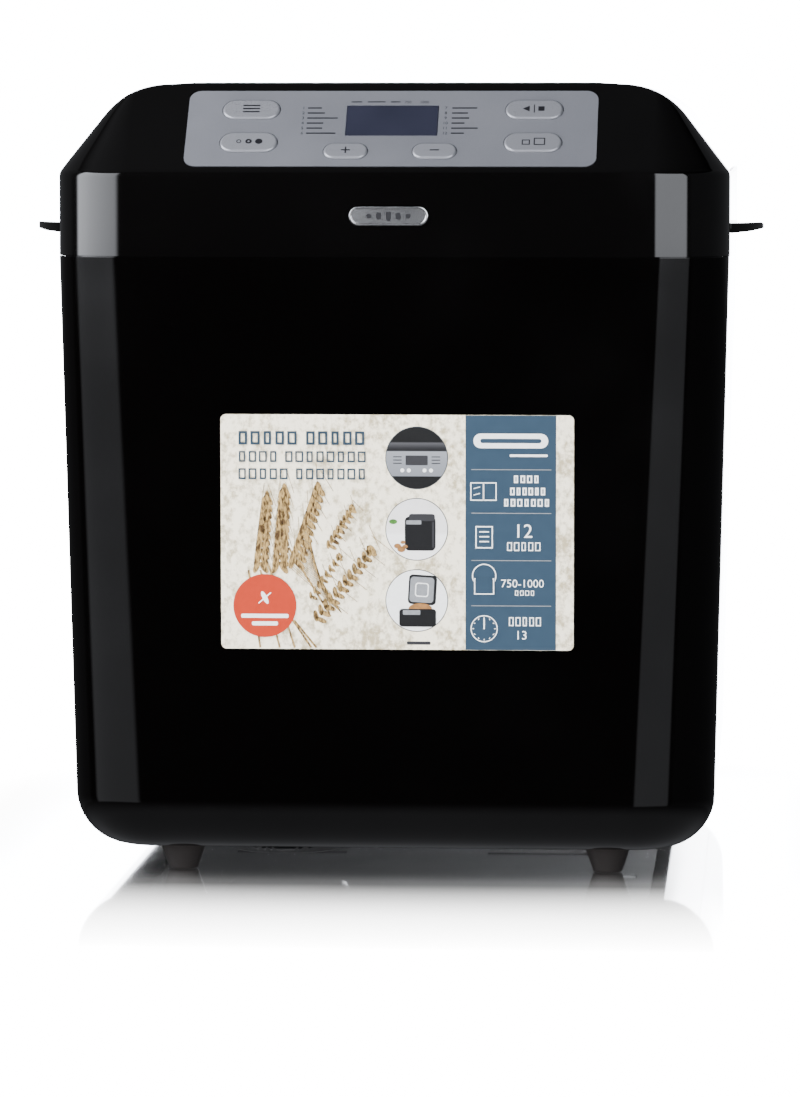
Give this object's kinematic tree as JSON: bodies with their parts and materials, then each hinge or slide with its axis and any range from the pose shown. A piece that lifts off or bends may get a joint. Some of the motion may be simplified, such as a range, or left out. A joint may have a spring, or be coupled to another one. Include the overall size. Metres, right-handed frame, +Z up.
{
  "type": "bread machine",
  "caption": "Countertop bread machine: glossy casing with sloping push-button panel, rear-hinged windowed lid, oven, belt drive, lift-out pan and paddle.",
  "frame": {"origin": "on the table surface, under the middle of the whole machine", "axes": "+Z up; the front with the control panel faces -Y; +X is the right-hand side seen from the front"},
  "size_m": [0.2748, 0.332, 0.296],
  "materials": {
    "gloss_black": "high gloss moulded",
    "matt_black": "fine spark texture",
    "silver_fascia": "satin silver film",
    "silver_key": "satin silver, soft edges",
    "display_window": "dark tinted window",
    "display_frame": "matt",
    "label_film": "printed film",
    "bright_emblem": "bright",
    "foot_rubber": "matt rubber",
    "smoked_pane": "smoked, glossy",
    "clear_glass": "clear",
    "liner_aluminium": "pressed sheet, satin",
    "silicone": "soft matt",
    "oven_steel": "aluminised sheet",
    "zinc_steel": "zinc plated",
    "heater_sheath": "dull, heat darkened",
    "ceramic": "unglazed",
    "cast_aluminium": "as cast",
    "bronze": "sintered",
    "belt_rubber": "moulded rubber",
    "lamination_steel": "varnished stack",
    "copper_wire": "enamelled",
    "white_plastic": "moulded",
    "circuit_board": "laminate",
    "nonstick_coating": "speckled dark coating"
  },
  "bodies": {
    "housing": {"lower_casing": "gloss_black", "top_housing": "gloss_black", "left_grip": "gloss_black", "right_grip": "gloss_black", "base_plate": "matt_black", "hinge_cover": "matt_black", "cord_gland": "matt_black", "base_screws": "zinc_steel", "front_label": "label_film", "emblem": "bright_emblem", "front_left_foot": "foot_rubber", "front_right_foot": "foot_rubber", "rear_left_foot": "foot_rubber", "rear_right_foot": "foot_rubber", "hinge_bracket": "zinc_steel", "hinge_pin": "zinc_steel", "control_fascia": "silver_fascia", "display_lens": "display_window", "display_module": "display_frame", "control_board": "circuit_board", "oven_chamber": "oven_steel", "heating_element": "heater_sheath", "heater_insulators": "ceramic", "temperature_sensors": "zinc_steel", "pan_seat": "cast_aluminium", "drive_bearing": "bronze", "chassis_plate": "zinc_steel", "standoffs": "zinc_steel", "drive_belt": "belt_rubber", "motor_stator": "lamination_steel", "motor_windings": "copper_wire", "motor_lower_bracket": "cast_aluminium", "motor_upper_bracket": "cast_aluminium", "run_capacitor": "white_plastic", "power_board": "circuit_board", "heat_shield": "oven_steel"},
    "lid": {"lid_shell": "gloss_black", "lid_window": "smoked_pane", "lid_glass": "clear_glass", "lid_inner_plate": "liner_aluminium", "lid_seal": "silicone", "lid_hinge_arm": "matt_black"},
    "pan": {"bread_pan": "nonstick_coating", "pan_base_ring": "cast_aluminium", "pan_bush": "bronze"},
    "handle": {"pan_handle": "zinc_steel"},
    "paddle": {"pan_shaft": "zinc_steel", "kneading_paddle": "nonstick_coating"},
    "drive": {"drive_shaft": "zinc_steel", "drive_pulley": "white_plastic", "drive_dog": "cast_aluminium"},
    "rotor": {"motor_rotor": "lamination_steel", "motor_pulley": "cast_aluminium"},
    "menu_key": {"menu_button": "silver_key"},
    "color_key": {"color_button": "silver_key"},
    "plus_key": {"plus_button": "silver_key"},
    "minus_key": {"minus_button": "silver_key"},
    "start_key": {"start_button": "silver_key"},
    "size_key": {"size_button": "silver_key"}
  },
  "joints": [
    {"name": "lid_hinge", "type": "hinge", "parent": "housing", "child": "lid", "pos_m": [0, 0.158, 0.2715], "axis": [-1, 0, 0], "range_deg": [0, 100]},
    {"name": "rotor_spin", "type": "hinge", "parent": "housing", "child": "rotor", "pos_m": [-0.042, -0.116, 0.08], "axis": [0, 0, 1], "continuous": true},
    {"name": "drive_spin", "type": "hinge", "parent": "housing", "child": "drive", "pos_m": [0, 0.046, 0.05], "axis": [0, 0, 1], "continuous": true},
    {"name": "pan_twist", "type": "hinge", "parent": "housing", "child": "pan", "pos_m": [0, 0.046, 0.096], "axis": [0, 0, 1], "range_deg": [0, 12]},
    {"name": "paddle_spin", "type": "hinge", "parent": "pan", "child": "paddle", "pos_m": [0, 0.046, 0.1], "axis": [0, 0, 1], "continuous": true},
    {"name": "handle_lift", "type": "hinge", "parent": "pan", "child": "handle", "pos_m": [0, 0.046, 0.233], "axis": [1, 0, 0], "range_deg": [0, 30]},
    {"name": "menu_press", "type": "slide", "parent": "housing", "child": "menu_key", "axis": [0, 0.7071, -0.7071], "range_m": [0, 0.0008], "stiffness_N_per_m": 800, "springref_m": -0.0005},
    {"name": "color_press", "type": "slide", "parent": "housing", "child": "color_key", "axis": [0, 0.7071, -0.7071], "range_m": [0, 0.0008], "stiffness_N_per_m": 800, "springref_m": -0.0005},
    {"name": "plus_press", "type": "slide", "parent": "housing", "child": "plus_key", "axis": [0, 0.7071, -0.7071], "range_m": [0, 0.0008], "stiffness_N_per_m": 800, "springref_m": -0.0005},
    {"name": "minus_press", "type": "slide", "parent": "housing", "child": "minus_key", "axis": [0, 0.7071, -0.7071], "range_m": [0, 0.0008], "stiffness_N_per_m": 800, "springref_m": -0.0005},
    {"name": "start_press", "type": "slide", "parent": "housing", "child": "start_key", "axis": [0, 0.7071, -0.7071], "range_m": [0, 0.0008], "stiffness_N_per_m": 800, "springref_m": -0.0005},
    {"name": "size_press", "type": "slide", "parent": "housing", "child": "size_key", "axis": [0, 0.7071, -0.7071], "range_m": [0, 0.0008], "stiffness_N_per_m": 800, "springref_m": -0.0005}
  ],
  "couplings": [
    {"joint": "drive_spin", "follows": "rotor_spin", "ratio": 0.16667},
    {"joint": "paddle_spin", "follows": "rotor_spin", "ratio": 0.16667}
  ]
}
